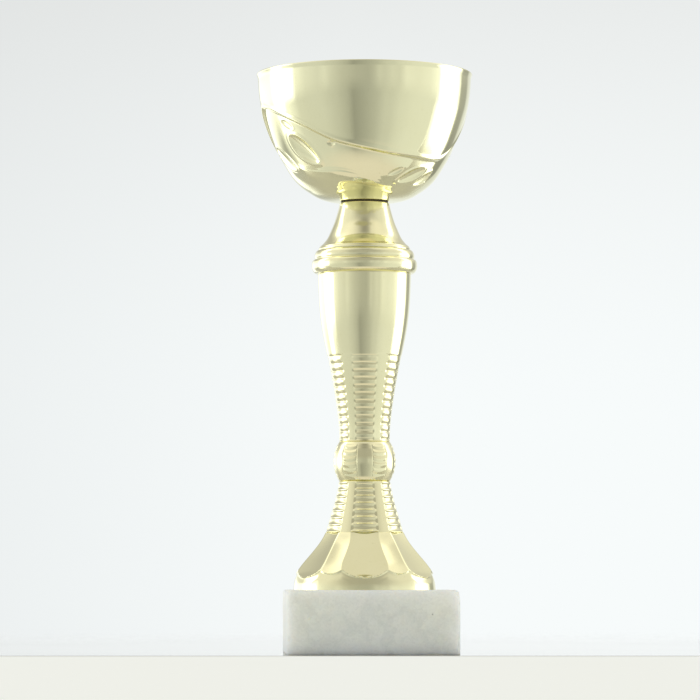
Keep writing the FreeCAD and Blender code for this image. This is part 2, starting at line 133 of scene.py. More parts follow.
def grid_faces(rows, cols):
    """Quads of a grid closed both ways."""
    j, i = np.meshgrid(np.arange(rows), np.arange(cols), indexing="ij")
    j2, i2 = (j + 1) % rows, (i + 1) % cols
    return np.stack([j * cols + i, j * cols + i2, j2 * cols + i2, j2 * cols + i], -1).reshape(-1, 4)


def lathe(name, loop, segs, shape=None, **options):
    """A turned piece. loop: closed profile (r, z) in mm, anticlockwise. shape(theta, r, z, index) may return changed radii and heights.
    theta is in degrees from -Y towards +X."""
    loop = np.asarray(loop, float)
    theta = np.arange(segs) * 360.0 / segs
    r = np.repeat(loop[:, :1], segs, 1)
    z = np.repeat(loop[:, 1:2], segs, 1)
    t = np.repeat(theta[None], len(loop), 0)
    index = np.repeat(np.arange(len(loop))[:, None], segs, 1)
    if shape:
        r, z = shape(t, r, z, index)
    a = np.radians(t)
    verts = np.stack([r * np.sin(a), -r * np.cos(a), z], -1).reshape(-1, 3) * MM
    return finish_mesh(name, verts, grid_faces(len(loop), segs), **options)


def rounded(points, radius=0.25, steps=3, keep=()):
    """Round the corners of an open or closed (r, z) polyline given as a closed loop, for crisp but not razor edges."""
    pts = [np.array(p, float) for p in points]
    out = []
    n = len(pts)
    for i in range(n):
        p0, p1, p2 = pts[i - 1], pts[i], pts[(i + 1) % n]
        if i in keep:
            out.append(p1)
            continue
        a, b = p0 - p1, p2 - p1
        la, lb = np.hypot(*a), np.hypot(*b)
        d = min(radius, la * 0.45, lb * 0.45)
        a, b = p1 + a / la * d, p1 + b / lb * d
        for s in np.linspace(0, 1, steps + 1):
            out.append((1 - s) ** 2 * a + 2 * s * (1 - s) * p1 + s * s * b)
    return out


def dense(points, step=0.5):
    """Subdivide long straight runs of a closed loop so that shading stays even."""
    out = []
    n = len(points)
    for i in range(n):
        p, q = np.array(points[i], float), np.array(points[(i + 1) % n], float)
        k = max(1, int(math.ceil(np.hypot(*(q - p)) / step)))
        for s in range(k):
            out.append(p + (q - p) * s / k)
    return out


# ------------------------------------------------------------------ materials
def new_material(name):
    material = bpy.data.materials.new(name)
    material.use_nodes = True
    tree = material.node_tree
    tree.nodes.clear()
    out = tree.nodes.new("ShaderNodeOutputMaterial")
    shader = tree.nodes.new("ShaderNodeBsdfPrincipled")
    tree.links.new(shader.outputs[0], out.inputs[0])
    return material, tree, shader


def node(tree, kind, inputs=None, **settings):
    made = tree.nodes.new(kind)
    for key, value in settings.items():
        setattr(made, key, value)
    for key, value in (inputs or {}).items():
        if isinstance(value, bpy.types.NodeSocket):
            tree.links.new(value, made.inputs[key])
        else:
            made.inputs[key].default_value = value
    return made


def ramp(tree, fac, stops, interpolation="LINEAR"):
    made = tree.nodes.new("ShaderNodeValToRGB")
    made.color_ramp.interpolation = interpolation
    while len(made.color_ramp.elements) > 1:
        made.color_ramp.elements.remove(made.color_ramp.elements[-1])
    for i, (at, colour) in enumerate(stops):
        element = made.color_ramp.elements[0] if i == 0 else made.color_ramp.elements.new(at)
        element.position = at
        element.color = (*colour, 1) if len(colour) == 3 else colour
    tree.links.new(fac, made.inputs[0])
    return made


def grey(v):
    return (v, v, v)


def object_coords(tree):
    return node(tree, "ShaderNodeTexCoord").outputs["Object"]


def gold(name, base, deep, rough=0.045, spun=0.0):
    """Plated champagne gold: slow tint changes, finger haze, hairline wipe marks and a faint orange-peel surface."""
    material, tree, shader = new_material(name)
    at = object_coords(tree)
    cloud = node(tree, "ShaderNodeTexNoise", {"Vector": at, "Scale": 34.0, "Detail": 4.0, "Roughness": 0.55})
    tint = ramp(tree, cloud.outputs["Fac"], [(0.32, deep), (0.68, base)])
    shader.inputs["Metallic"].default_value = 1.0
    # haze left by handling, in soft patches
    haze = node(tree, "ShaderNodeTexNoise", {"Vector": at, "Scale": 55.0, "Detail": 6.0, "Roughness": 0.65, "Distortion": 0.6})
    patches = ramp(tree, haze.outputs["Fac"], [(0.40, grey(rough)), (0.62, grey(rough + 0.035)), (0.78, grey(rough + 0.11))])
    # hairline marks: noise stretched round the turned form
    stretch = node(tree, "ShaderNodeMapping", {"Vector": at, "Scale": (60.0, 60.0, 2600.0)})
    hair = node(tree, "ShaderNodeTexNoise", {"Vector": stretch.outputs[0], "Scale": 1.0, "Detail": 3.0, "Roughness": 0.7})
    lines = ramp(tree, hair.outputs["Fac"], [(0.45, grey(0.0)), (0.8, grey(0.03 + spun))])
    total = node(tree, "ShaderNodeMath", {0: patches.outputs[0], 1: lines.outputs[0]}, operation="ADD")
    tree.links.new(total.outputs[0], shader.inputs["Roughness"])
    # tiny specks where the plating is dull
    speck = node(tree, "ShaderNodeTexNoise", {"Vector": at, "Scale": 900.0, "Detail": 2.0})
    mask = ramp(tree, speck.outputs["Fac"], [(0.69, grey(0.0)), (0.75, grey(0.35))])
    worn = node(tree, "ShaderNodeMix", {"Factor": mask.outputs[0]}, data_type="RGBA")
    tree.links.new(tint.outputs[0], worn.inputs[6])
    worn.inputs[7].default_value = (deep[0] * 0.8, deep[1] * 0.78, deep[2] * 0.7, 1)
    tree.links.new(worn.outputs[2], shader.inputs["Base Color"])
    peel = node(tree, "ShaderNodeTexNoise", {"Vector": at, "Scale": 260.0, "Detail": 2.0, "Roughness": 0.5})
    slow = node(tree, "ShaderNodeTexNoise", {"Vector": at, "Scale": 60.0, "Detail": 2.0})
    both = node(tree, "ShaderNodeMath", {0: slow.outputs["Fac"], 1: 3.0, 2: peel.outputs["Fac"]}, operation="MULTIPLY_ADD")
    bump = node(tree, "ShaderNodeBump", {"Height": both.outputs[0], "Strength": 0.25, "Distance": 0.00006})
    tree.links.new(bump.outputs[0], shader.inputs["Normal"])
    return material


def marble_material():
    material, tree, shader = new_material("white_marble")
    at = object_coords(tree)
    warp = node(tree, "ShaderNodeTexNoise", {"Vector": at, "Scale": 26.0, "Detail": 5.0, "Roughness": 0.6})
    shift = node(tree, "ShaderNodeVectorMath", {0: warp.outputs["Color"], 1: (0.035, 0.035, 0.035)}, operation="MULTIPLY")
    moved = node(tree, "ShaderNodeVectorMath", {0: at, 1: shift.outputs[0]}, operation="ADD")
    # slow grey clouds
    cloud = node(tree, "ShaderNodeTexNoise", {"Vector": moved.outputs[0], "Scale": 30.0, "Detail": 7.0, "Roughness": 0.62})
    body = ramp(tree, cloud.outputs["Fac"], [(0.28, (0.83, 0.845, 0.765)), (0.45, (0.86, 0.87, 0.79)), (0.60, (0.875, 0.885, 0.805)), (0.80, (0.90, 0.91, 0.83))])
    # faint veins along warped sheets
    lean = node(tree, "ShaderNodeMapping", {"Vector": moved.outputs[0], "Rotation": (0.5, 0.75, 0.35), "Scale": (1.0, 1.0, 0.6)})
    vein = node(tree, "ShaderNodeTexWave", {"Vector": lean.outputs[0], "Scale": 17.0, "Distortion": 7.5, "Detail": 4.0, "Detail Scale": 1.6, "Detail Roughness": 0.62}, wave_type="BANDS", bands_direction="DIAGONAL", wave_profile="SIN")
    thin = ramp(tree, vein.outputs["Fac"], [(0.0, grey(0.22)), (0.07, grey(0.10)), (0.2, grey(0.0))])
    veined = node(tree, "ShaderNodeMix", {"Factor": thin.outputs[0]}, data_type="RGBA")
    tree.links.new(body.outputs[0], veined.inputs[6])
    veined.inputs[7].default_value = (0.62, 0.64, 0.60, 1)
    # warm iron tint in a few places
    iron = node(tree, "ShaderNodeTexNoise", {"Vector": moved.outputs[0], "Scale": 22.0, "Detail": 3.0})
    warm = ramp(tree, iron.outputs["Fac"], [(0.60, grey(0.0)), (0.75, grey(0.30))])
    tinted = node(tree, "ShaderNodeMix", {"Factor": warm.outputs[0]}, data_type="RGBA")
    tree.links.new(veined.outputs[2], tinted.inputs[6])
    tinted.inputs[7].default_value = (0.72, 0.68, 0.58, 1)
    # crystal grain: every calcite grain a slightly different value
    grain = node(tree, "ShaderNodeTexVoronoi", {"Vector": at, "Scale": 1150.0})
    value = node(tree, "ShaderNodeSeparateColor", {0: grain.outputs["Color"]})
    lift = ramp(tree, value.outputs[0], [(0.0, grey(0.965)), (0.5, grey(1.0)), (1.0, grey(1.03))])
    grained = node(tree, "ShaderNodeMix", {"Factor": 1.0}, data_type="RGBA", blend_type="MULTIPLY")
    tree.links.new(tinted.outputs[2], grained.inputs[6])
    tree.links.new(lift.outputs[0], grained.inputs[7])
    # dark pits
    spot = node(tree, "ShaderNodeTexVoronoi", {"Vector": at, "Scale": 92.0, "Randomness": 1.0})
    hole = ramp(tree, spot.outputs["Distance"], [(0.0, grey(0.8)), (0.035, grey(0.5)), (0.06, grey(0.0))])
    pitted = node(tree, "ShaderNodeMix", {"Factor": hole.outputs[0]}, data_type="RGBA")
    tree.links.new(grained.outputs[2], pitted.inputs[6])
    pitted.inputs[7].default_value = (0.10, 0.10, 0.09, 1)
    tree.links.new(pitted.outputs[2], shader.inputs["Base Color"])
    gloss = ramp(tree, cloud.outputs["Fac"], [(0.3, grey(0.40)), (0.7, grey(0.27))])
    tree.links.new(gloss.outputs[0], shader.inputs["Roughness"])
    shader.inputs["IOR"].default_value = 1.5
    shader.inputs["Subsurface Weight"].default_value = 1.0
    shader.inputs["Subsurface Radius"].default_value = (1.0, 0.9, 0.75)
    shader.inputs["Subsurface Scale"].default_value = 0.016
    fine = node(tree, "ShaderNodeTexNoise", {"Vector": at, "Scale": 1400.0, "Detail": 3.0})
    height = node(tree, "ShaderNodeMath", {0: hole.outputs[0], 1: -4.0, 2: fine.outputs["Fac"]}, operation="MULTIPLY_ADD")
    bump = node(tree, "ShaderNodeBump", {"Height": height.outputs[0], "Strength": 0.35, "Distance": 0.00012})
    tree.links.new(bump.outputs[0], shader.inputs["Normal"])
    return material


def steel_material():
    material, tree, shader = new_material("zinc_plate")
    at = object_coords(tree)
    cloud = node(tree, "ShaderNodeTexNoise", {"Vector": at, "Scale": 260.0, "Detail": 4.0})
    tint = ramp(tree, cloud.outputs["Fac"], [(0.3, (0.56, 0.57, 0.58)), (0.55, (0.70, 0.70, 0.69)), (0.75, (0.76, 0.74, 0.68))])
    tree.links.new(tint.outputs[0], shader.inputs["Base Color"])
    shader.inputs["Metallic"].default_value = 1.0
    rough = ramp(tree, cloud.outputs["Fac"], [(0.3, grey(0.38)), (0.7, grey(0.22))])
    tree.links.new(rough.outputs[0], shader.inputs["Roughness"])
    fine = node(tree, "ShaderNodeTexNoise", {"Vector": at, "Scale": 2200.0, "Detail": 3.0})
    bump = node(tree, "ShaderNodeBump", {"Height": fine.outputs["Fac"], "Strength": 0.3, "Distance": 0.00004})
    tree.links.new(bump.outputs[0], shader.inputs["Normal"])
    return material


def rubber_material():
    material, tree, shader = new_material("dark_rubber")
    at = object_coords(tree)
    cloud = node(tree, "ShaderNodeTexNoise", {"Vector": at, "Scale": 700.0, "Detail": 4.0})
    tint = ramp(tree, cloud.outputs["Fac"], [(0.3, (0.055, 0.042, 0.02)), (0.7, (0.10, 0.078, 0.035))])
    tree.links.new(tint.outputs[0], shader.inputs["Base Color"])
    rough = ramp(tree, cloud.outputs["Fac"], [(0.3, grey(0.75)), (0.7, grey(0.6))])
    tree.links.new(rough.outputs[0], shader.inputs["Roughness"])
    bump = node(tree, "ShaderNodeBump", {"Height": cloud.outputs["Fac"], "Strength": 0.4, "Distance": 0.00005})
    tree.links.new(bump.outputs[0], shader.inputs["Normal"])
    return material


STEM_GOLD = gold("plated_stem_gold", (0.93, 0.885, 0.57), (0.90, 0.85, 0.52), rough=0.05)
BOWL_GOLD = gold("plated_bowl_gold", (0.92, 0.885, 0.58), (0.89, 0.85, 0.54), rough=0.04, spun=0.01)
MARBLE = marble_material()
STEEL = steel_material()
RUBBER = rubber_material()

# ------------------------------------------------------------------ marble block
SIDE, HIGH, OFF = 40.0, 30.0, 2.4


def square_radius(theta, inset):
    """Polar radius of the block's rounded-square outline, moved in by inset."""
    h, c = SIDE - inset, np.maximum(2.6 - inset * 0.5, 0.6)
    a = np.radians(theta)
    x, y = np.abs(np.sin(a)), np.abs(np.cos(a))
    big, small = np.maximum(x, y), np.minimum(x, y)
    flat = h / big
    # corner arc: centre at (h - c, h - c)
    k = (h - c) * (big + small)
    root = np.sqrt(np.maximum(k * k - (2 * (h - c) ** 2 - c * c), 0))
    arc = k + root
    on_flat = flat * small <= h - c
    return np.where(on_flat, flat, arc)


def marble_block():
    rows = []  # (kind, a, z): outer rows use inset a; top and bottom faces use blend a to a circle
    for s in np.linspace(0, 1, 5):
        ang = s * math.pi / 2
        rows.append(("out", 0.35 * (1 - math.sin(ang)), 0.35 * (1 - math.cos(ang))))
    for z in np.linspace(0.9, HIGH - 1.9, 45):
        rows.append(("out", 0.0, z))
    for s in np.linspace(0, 1, 9)[0:]:
        ang = s * math.pi / 2
        rows.append(("out", 1.3 * (1 - math.cos(ang)), HIGH - 1.3 + 1.3 * math.sin(ang)))
    for s in np.linspace(0, 1, 42)[1:]:
        rows.append(("top", s, HIGH))
    for z in np.linspace(HIGH, 13.0, 8)[1:]:
        rows.append(("bore", 4.0, z))
    for r in np.linspace(4.0, 11.0, 6)[1:]:
        rows.append(("bore", r, 13.0))
    for z in np.linspace(13.0, 0.3, 6)[1:]:
        rows.append(("bore", 11.0, z))
    rows.append(("bore", 11.15, 0.08))
    for s in np.linspace(0, 1, 24)[0:-1]:
        rows.append(("bottom", 1 - s, 0.0))
    segs = 640
    # columns gathered towards the corners, where the outline turns
    base = np.arange(segs) * 360.0 / segs
    theta = base + 4.5 * np.sin(np.radians(4 * base))
    verts = []
    for kind, a, z in rows:
        centre = OFF
        if kind == "out":
            r = square_radius(theta, a)
        elif kind == "top":
            r = square_radius(theta, 1.3) * (1 - a) + 4.0 * a
            centre = OFF * (1 - a)
        elif kind == "bottom":
            r = square_radius(theta, 0.35) * (1 - a) + 11.3 * a
            centre = OFF * (1 - a)
        else:
            r = np.full(segs, a)
            centre = 0.0
        t = np.radians(theta)
        verts.append(np.stack([r * np.sin(t) + centre - OFF, -r * np.cos(t), np.full(segs, z)], -1))
    v = np.array(verts)
    p = v.reshape(-1, 3)
    # hand-sawn look: very slight waviness, ragged arrises with small chips, always inwards
    edge_x, edge_y = SIDE - np.abs(p[:, 0]), SIDE - np.abs(p[:, 1])
    edge_t, edge_b = HIGH - p[:, 2], p[:, 2]
    outside = (np.maximum(np.abs(p[:, 0]), np.abs(p[:, 1])) > SIDE - 6) | (p[:, 2] > HIGH - 0.01)
    near = np.sort(np.stack([edge_x, edge_y, np.minimum(edge_t, edge_b)], -1), 1)
    arris = np.exp(-(near[:, 1] / 1.5) ** 2)
    rough = value_noise(p, 3.1, 3) * 0.5 + value_noise(p, 1.1, 5) * 0.5
    chip = smooth(0.34, 0.72, value_noise(p, 2.4, 11) * 0.6 + value_noise(p, 5.6, 17) * 0.55)
    depth = arris * (0.10 * (rough * 0.5 + 0.5) + 0.75 * chip)
    # one larger chip at the front right top corner
    d = np.sqrt(((p - np.array([38.9, -39.2, 29.0])) / np.array([2.6, 2.6, 4.6])) ** 2 @ np.ones(3))
    depth = depth + 0.9 * np.clip(1 - d, 0, 1) * (0.75 + 0.25 * rough)
    # open pits on the front face
    for px, pz, pr, pd in ((-30.0, 16.9, 0.75, 0.7), (-25.0, 4.6, 0.5, 0.45), (-18.0, 1.5, 0.55, 0.4), (14.0, 21.0, 0.35, 0.25), (31.0, 9.0, 0.4, 0.3)):
        q = np.hypot(p[:, 0] - px, p[:, 2] - pz) / pr
        depth = depth + np.where(p[:, 1] < -38, pd * np.clip(1 - q * q, 0, 1), 0)
    centre = np.array([0, 0, 15.0])
    inward = -(p - centre) * np.array([1, 1, 1.0])
    sides = np.stack([np.exp(-edge_x / 1.2) * np.sign(-p[:, 0]), np.exp(-edge_y / 1.2) * np.sign(-p[:, 1]), -np.exp(-edge_t / 1.2) + np.exp(-edge_b / 1.2)], -1)
    length = np.linalg.norm(sides, axis=1, keepdims=True)
    direction = np.where(length > 1e-3, sides / np.maximum(length, 1e-6), 0)
    depth = np.where(outside | (p[:, 2] < 0.9), depth, 0)
    inner = np.hypot(p[:, 0] + OFF, p[:, 1]) < 30
    depth = np.where(inner, 0, depth)
    direction[:, 2] = np.where(p[:, 2] < 0.85, np.maximum(direction[:, 2], 0), direction[:, 2])
    p = p + direction * depth[:, None]
    # the front right top corner is broken off on a slant
    c = (SIDE - p[:, 0]) + (HIGH - p[:, 2]) + 0.35 * rough
    cut = np.clip(4.4 * smooth(-27, -38, p[:, 1]) - c, 0, 99) / 2
    p[:, 0] -= cut
    p[:, 2] -= cut
    p[:, 2] = np.clip(p[:, 2], 0, HIGH)
    p[:, 0] = p[:, 0] + OFF
    obj = finish_mesh("marble_block", p * MM, grid_faces(len(rows), segs), sharp=50, material=MARBLE)
    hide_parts("marble_base")
    return obj


marble_block()

# ------------------------------------------------------------------ foot
CREST_LOW = ([56.0, 61.3, 69.2, 77.1, 81.6], [18.75, 17.2, 14.9, 12.95, 12.25])
PETAL = ([33.0, 35.6, 38.0, 41.0, 45.0, 49.0, 53.0, 57.4], [35.15, 33.1, 31.2, 28.9, 25.85, 22.85, 20.05, 17.3])
LEAF = ([33.0, 37.2, 39.5, 42.0, 45.6, 49.6, 53.0, 57.4], [36.2, 33.0, 31.35, 29.55, 26.5, 23.15, 20.65, 18.2])
RIM = ([30.0, 32.0, 34.0, 36.0, 38.0, 40.0, 42.0], [33.6, 33.45, 33.15, 32.75, 32.25, 31.6, 30.6])
FIRST_RING, RING_PITCH = 57.3, 3.3


def ring_wave(phase, crest_power=1.0):
    """0 at the groove, 1 at the crest."""
    w = 0.5 - 0.5 * np.cos(2 * np.pi * phase)
    return w**crest_power


def foot_shape(theta, r, z, index):
    theta = theta - TURN
    # petals: six wide ones, the first facing the front, and six narrow leaves between them
    main = np.abs((theta + 30.0) % 60.0 - 30.0)
    leaf = np.abs(theta % 60.0 - 30.0)
    # facets are a little hollow, and the ridges between them are softly rounded over
    lift = smooth(34.5, 38.5, z)
    wide = spline(*PETAL, np.clip(z, 33.0, 57.4)) / np.cos(np.radians(main)) - 0.38 * np.clip(1 - (main / 21.0) ** 2, 0, 1) * lift
    thin = spline(*LEAF, np.clip(z, 33.0, 57.4)) / np.cos(np.radians(leaf)) - 0.34 * np.clip(1 - (leaf / 11.5) ** 2, 0, 1) * lift * smooth(56.5, 51.0, z)
    facet = smin(wide, thin, 0.45)
    rim = spline(*RIM, np.clip(z, 30.0, 42.0)) + np.clip(z - 42.0, 0, 99) * 3
    # the petals stand proud of the rim band: their lower edge turns in over a short step
    gap = rim - facet
    lower = rim - 0.42 * smooth(-2.6, -0.3, -np.abs(gap)) * smooth(0.02, 0.4, -gap)
    new = np.where(gap > 0, facet, lower)
    on = (z < 57.0) & (index < foot_outer_count)
    new = np.where(on, new, r)
    # the leaves run on up the waist as smooth upright bands that break the ribs
    band = smooth(12.4, 8.2, leaf) * smooth(81.4, 80.2, z)
    on = (z >= 56.95) & (z < 81.25) & (index < foot_outer_count)
    return np.where(on, new * (1 - band) + (spline(*CREST_LOW, np.clip(z, 56.0, 81.6)) - 0.20) * band, new), z


def low_rings(z):
    """Narrow ridges with hollow bands between them."""
    crest = spline(*CREST_LOW, z)
    phase = (z - FIRST_RING) / RING_PITCH
    ridge = (0.5 + 0.5 * np.cos(2 * np.pi * phase)) ** 2.4
    return crest - 0.62 * (1 - ridge)


def build_foot():
    global foot_outer_count
    outer = [(33.2, 30.0), (33.55, 30.15)]
    for z in np.arange(30.5, 57.0, 0.30):
        outer.append((33.0, z))
    outer += [(17.3, 57.0), (18.15, 57.12)]
    for z in np.arange(57.3, 81.3, 0.235):
        outer.append((float(low_rings(np.array(z))), z))
    outer += [(12.0, 81.3), (11.8, 81.4)]
    foot_outer_count = len(outer)
    inner = [(8.8, 81.4), (8.8, 83.6), (8.6, 83.7), (3.4, 83.7), (3.3, 83.6), (3.3, 78.9), (9.6, 78.9), (12.0, 70.0), (14.6, 60.0), (16.2, 54.5), (20.2, 48.2), (24.0, 43.4), (27.4, 39.2), (30.2, 35.0), (31.2, 32.5), (31.4, 30.0)]
    obj = lathe("foot_shell", outer + inner, 456, foot_shape, sharp=38, material=STEM_GOLD)
    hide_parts("foot")
    return obj


build_foot()


# ------------------------------------------------------------------ knob
def knob_shape(theta, r, z, index):
    theta = theta - TURN
    window = wrap((theta + 30.0) % 60.0 - 30.0)  # 0 at a window's middle
    panel = 30.0 - np.abs(window)  # 0 at a panel's middle
    inside = smooth(15.6, 14.4, 30.0 - panel)  # 1 in the window
    ribbed = 1 - smooth(13.2, 14.8, panel)
    bow = 0.9 * (1 - (panel / 15.0) ** 2)
    phase = (z - 90.5 + bow * 0.8) / 2.9
    wave = ring_wave(phase, 0.9)
    fade = smooth(82.6, 84.6, z) * smooth(98.6, 96.8, z)
    h = -0.26 * (1 - wave) * ribbed * fade
    # fine upright beads along the seams between window and panel
    seam = np.exp(-(((30.0 - panel) - 15.2) / 0.8) ** 2)
    h = h - 0.22 * seam * fade
    # windows: slightly flattened
    h = h - 0.10 * inside * fade
    on = index < knob_outer_count
    return np.where(on, r + h, r), z


def build_knob():
    global knob_outer_count
    zs = np.linspace(81.4, 99.7, 120)
    c = 9.15
    sag = 2.72
    ball = (c * c + sag * sag) / (2 * sag)
    cx = 12.1 + sag - ball
    outer = [(11.9, 81.4)]
    for z in zs[1:-1]:
        outer.append((cx + math.sqrt(ball**2 - (z - 90.55) ** 2), z))
    outer.append((11.85, 99.7))
    knob_outer_count = len(outer)
    inner = [(9.6, 99.7), (9.6, 102.1), (9.5, 102.2), (3.3, 102.2), (3.3, 97.3), (9.0, 97.3), (9.0, 81.4)]
    obj = lathe("knob_ball", outer + inner, 720, knob_shape, sharp=38, material=STEM_GOLD)
    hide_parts("knob")


build_knob()

# ------------------------------------------------------------------ upper column
COLUMN = (
    [99.7, 105.5, 115.0, 124.4, 130.7, 140.6, 147.0, 152.9, 158.9, 164.8, 172.0, 179.6],
    [12.1, 12.2, 13.15, 14.55, 15.65, 17.6, 18.95, 20.05, 20.9, 21.45, 21.85, 22.1],
)
UP_FIRST, UP_PITCH = 101.0, 3.55


def column_radius(z):
    z = np.asarray(z, float)
    crest = spline(*COLUMN, z)
    phase = (z - UP_FIRST) / UP_PITCH
    wave = np.abs(np.sin(np.pi * phase)) ** 0.8
    depth = 0.58 * smooth(141.2, 139.6, z)
    depth = depth * (1 - 0.45 * smooth(133.5, 140.0, z))
    return crest - depth * (1 - wave) * smooth(99.6, 100.2, z)


def column_shape(theta, r, z, index):
    # the same six smooth upright bands break the upper ribs
    leaf = np.abs((theta - TURN) % 60.0 - 30.0)
    band = smooth(11.6, 7.4, leaf) * smooth(99.9, 101.4, z) * smooth(141.2, 140.2, z)
    on = index < column_outer_count
    return np.where(on, r * (1 - band) + (spline(*COLUMN, np.clip(z, 99.7, 179.6)) - 0.16) * band, r), z


def build_column():
    global column_outer_count
    outer = [(11.6, 99.7), (11.85, 99.8)]
    for z in np.arange(100.0, 141.0, 0.2219):
        outer.append((float(column_radius(z)), z))
    for z in np.linspace(141.0, 179.3, 50):
        outer.append((float(column_radius(z)), z))
    outer += [(21.95, 179.6)]
    column_outer_count = len(outer)
    inner = [(17.8, 179.6), (17.8, 181.7), (17.7, 181.8), (3.4, 181.8), (3.3, 181.7), (3.3, 177.2), (19.6, 177.2), (19.2, 165.0), (17.8, 153.0), (14.9, 141.0), (11.9, 124.0), (10.0, 108.0), (10.0, 99.7)]
    obj = lathe("upper_column", outer + inner, 384, column_shape, sharp=38, material=STEM_GOLD)
    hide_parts("column")


build_column()


# ------------------------------------------------------------------ collar ring and neck
def build_collar():
    profile = [(18.0, 179.6), (22.9, 179.6), (23.3, 179.75), (23.9, 180.15)]
    # lower band: full, slightly bowed face with soft edges
    profile += [(24.45, 180.9), (24.8, 181.8), (24.97, 182.9), (24.98, 183.9), (24.88, 184.9), (24.62, 185.6), (24.25, 185.95)]
    # groove
    profile += [(23.75, 186.05), (23.42, 186.3), (23.4, 186.6), (23.55, 186.8)]
    # upper band
    profile += [(23.72, 187.3), (23.68, 188.2), (23.45, 189.2), (23.1, 189.9), (22.72, 190.35), (22.3, 190.6), (18.0, 190.6)]
    obj = lathe("collar_band", rounded(dense(profile, 1.2), 0.12, 2), 384, sharp=42, material=STEM_GOLD)
    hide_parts("collar_ring")


build_collar()

NECK = ([193.4, 195.8, 198.2, 200.6, 203.5, 206.5, 210.0, 213.2], [20.05, 18.05, 16.75, 15.7, 14.5, 13.5, 12.5, 11.75])


def build_neck():
    outer = [(21.3, 190.6), (21.7, 190.72), (21.85, 191.1), (21.75, 191.5), (21.5, 191.75), (21.42, 191.95), (21.4, 192.2), (21.15, 192.5), (20.75, 192.85)]
    for z in np.linspace(193.4, 213.0, 60):
        outer.append((float(spline(*NECK, np.array(z))), z))
    outer += [(11.6, 213.2)]
    inner = [(3.4, 213.2), (3.3, 213.1), (3.3, 210.8), (9.6, 210.8), (11.4, 206.0), (13.2, 200.8), (15.8, 195.5), (15.8, 188.4), (17.7, 188.4), (17.8, 188.5), (17.8, 190.6)]
    obj = lathe("bowl_neck_shell", outer + inner, 384, sharp=42, material=STEM_GOLD)
    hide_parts("bowl_neck")


build_neck()


def build_gasket():
    profile = rounded([(3.3, 213.2), (11.15, 213.2), (11.2, 213.55), (11.15, 213.9), (3.3, 213.9)], 0.12, 3)
    obj = lathe("gasket_ring", profile, 192, sharp=45, material=RUBBER)
    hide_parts("bowl_gasket")


build_gasket()

# ------------------------------------------------------------------ bowl
BOWL_PTS = np.array(
    [
        (3.3, 213.9), (9.0, 213.9), (14.0, 213.92), (17.0, 214.3), (20.0, 215.05), (25.4, 217.2), (30.1, 220.3), (34.0, 224.1), (37.4, 229.1), (41.2, 235.8),
        (44.5, 243.5), (47.2, 251.3), (49.0, 257.5), (50.05, 263.5), (50.55, 268.5), (50.75, 272.4),
    ]
)
SHEET = 0.8


def bowl_curve(count):
    d = np.concatenate([[0], np.cumsum(np.hypot(*np.diff(BOWL_PTS, axis=0).T))])
    t = np.linspace(0, d[-1], count)
    r, z = spline(d, BOWL_PTS[:, 0], t), spline(d, BOWL_PTS[:, 1], t)
    dr, dz = np.gradient(r, t), np.gradient(z, t)
    n = np.hypot(dr, dz)
    return t, r, z, dz / n, -dr / n  # arc length, point, outward normal


# embossed edge between the smooth upper band and the worked lower part; two long waves round the bowl
WAVE = ([-115.0, -108.0, -100.0, -92.0, -86.0, -81.0, -74.0, -62.0, -48.6, -38.0, -29.6, -20.4, -10.0, -1.2, 17.2, 38.8, 55.0, 65.0], [232.0, 235.2, 241.2, 249.0, 254.4, 257.6, 257.4, 254.2, 249.6, 245.6, 242.2, 238.9, 236.6, 235.2, 232.9, 231.6, 231.2, 232.0])
LOWER = ([-62.0, -50.0, -37.0, -22.0, -7.0, 9.0, 25.0], [229.5, 227.2, 225.9, 225.6, 223.9, 221.3, 219.0])
DENTS = (
    # angle, height, half length, half width, tilt, depth
    (-54.6, 247.2, 4.6, 1.8, -30, 0.75),
    (-45.6, 235.4, 9.8, 4.6, -47, 1.75),
    (-72.6, 233.0, 9.0, 3.8, -46, 1.4),
    (-22.6, 236.9, 1.9, 1.4, -20, 0.7),
    (25.5, 224.6, 4.0, 1.6, 32, 0.6),
    (42.4, 223.4, 7.6, 3.3, 33, 1.35),
    (60.0, 222.8, 6.6, 2.9, 42, 1.15),
    (71.0, 227.8, 4.0, 1.9, 48, 0.75),
)


def emboss(theta, s, r, z):
    """Height of the embossing along the outward normal, in mm. theta in degrees from -Y."""
    a = wrap(theta)
    a = np.where(a < -115, a + 180, np.where(a >= 65, a - 180, a))  # two-fold repeat
    edge_z = spline(WAVE[0], WAVE[1], a)
    slope = (spline(WAVE[0], WAVE[1], a + 0.5) - spline(WAVE[0], WAVE[1], a - 0.5)) / np.radians(1.0) / np.maximum(r, 1)
    below = (edge_z - z) / np.sqrt(1 + slope**2) * 1.12  # distance below the edge along the sheet
    step = smooth(-0.2, 1.2, below)
    bead = 0.30 * np.exp(-(((below + 0.9) / 0.9) ** 2))
    recover = 0.50 + 0.50 * np.exp(-np.clip(below - 1.6, 0, 99) / 7.0)
    h = bead - 1.0 * step * recover
    # second, softer edge lower down
    low_z = spline(LOWER[0], LOWER[1], np.clip(a, LOWER[0][0], LOWER[0][-1]))
    fade = smooth(-64, -50, a) * smooth(26, 10, a)
    under = (low_z - z) * 1.25
    h = h + fade * (0.42 * smooth(0.0, 1.4, under) * (1 - smooth(4.0, 9.0, under)) + 0.16 * np.exp(-((under / 0.9) ** 2)))
    for angle, height, long, wide, tilt, depth in DENTS:
        u = np.radians(wrap(a - angle)) * r
        v = s - s_of(height)
        c, d = math.cos(math.radians(tilt)), math.sin(math.radians(tilt))
        p, q = (u * c + v * d) / long, (-u * d + v * c) / wide
        # leaf-like outline: narrower towards the ends
        k = np.sqrt(p * p + q * q * (1 + 0.25 * p * p))
        h = h - depth * np.clip(1 - k * k, 0, 1) ** 0.85 + 0.18 * depth * np.exp(-(((k - 1.1) / 0.13) ** 2))
    return h * smooth(215.0, 218.0, z)


